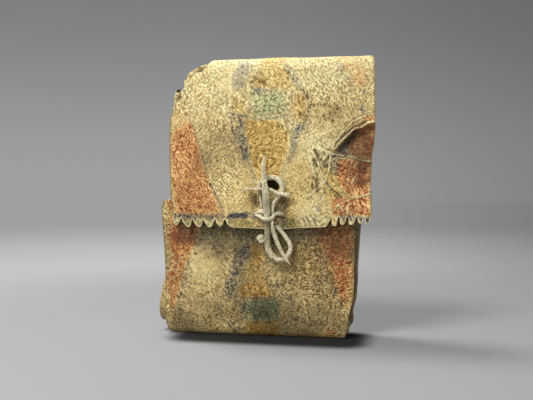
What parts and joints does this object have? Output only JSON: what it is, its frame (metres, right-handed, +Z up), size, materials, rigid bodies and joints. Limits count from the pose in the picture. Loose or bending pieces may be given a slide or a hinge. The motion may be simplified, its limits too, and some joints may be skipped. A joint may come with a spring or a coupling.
{
  "type": "parfleche",
  "caption": "Flat rawhide envelope case with folded side and end flaps, a toothed upper flap and a buckskin tie, standing on its bottom fold.",
  "frame": {"origin": "centre of the case's footprint, on the surface that its bottom fold stands on", "axes": "+Z up, +X to the right and -Y towards the viewer when the flaps face the viewer"},
  "size_m": [0.2554, 0.0706, 0.326],
  "materials": {
    "rawhide": "dry rawhide, matt with worn highlights",
    "painted_rawhide": "dry rawhide with faded earth paints",
    "buckskin": "matt suede"
  },
  "bodies": {
    "body": {"back_panel": "rawhide"},
    "upper_flap": {"upper_flap": "painted_rawhide", "tie_strap": "buckskin", "tie_tail": "buckskin", "tie_ring": "buckskin", "tie_cross": "buckskin", "tie_wrap": "buckskin", "tie_knot": "buckskin", "tie_back_run": "buckskin"},
    "lower_flap": {"lower_flap": "painted_rawhide"},
    "left_side_flap": {"left_side_flap": "rawhide"},
    "right_side_flap": {"right_side_flap": "rawhide"}
  },
  "joints": [
    {"name": "upper_flap_crease", "type": "hinge", "parent": "body", "child": "upper_flap", "pos_m": [0, -0.012, 0.326], "axis": [-1, 0, 0], "range_deg": [0, 160]},
    {"name": "lower_flap_crease", "type": "hinge", "parent": "body", "child": "lower_flap", "pos_m": [0, -0.0104, 0], "axis": [1, 0, 0], "range_deg": [0, 160]},
    {"name": "left_side_crease", "type": "hinge", "parent": "body", "child": "left_side_flap", "pos_m": [-0.11375, -0.0072, 0.163], "axis": [-0.0871, 0, -0.9962], "range_deg": [0, 160]},
    {"name": "right_side_crease", "type": "hinge", "parent": "body", "child": "right_side_flap", "pos_m": [0.11125, -0.0072, 0.163], "axis": [0.0871, 0, 0.9962], "range_deg": [0, 160]}
  ],
  "couplings": [
    {"joint": "lower_flap_crease", "follows": "upper_flap_crease", "ratio": 1},
    {"joint": "left_side_crease", "follows": "upper_flap_crease", "ratio": 1},
    {"joint": "right_side_crease", "follows": "upper_flap_crease", "ratio": 1}
  ]
}
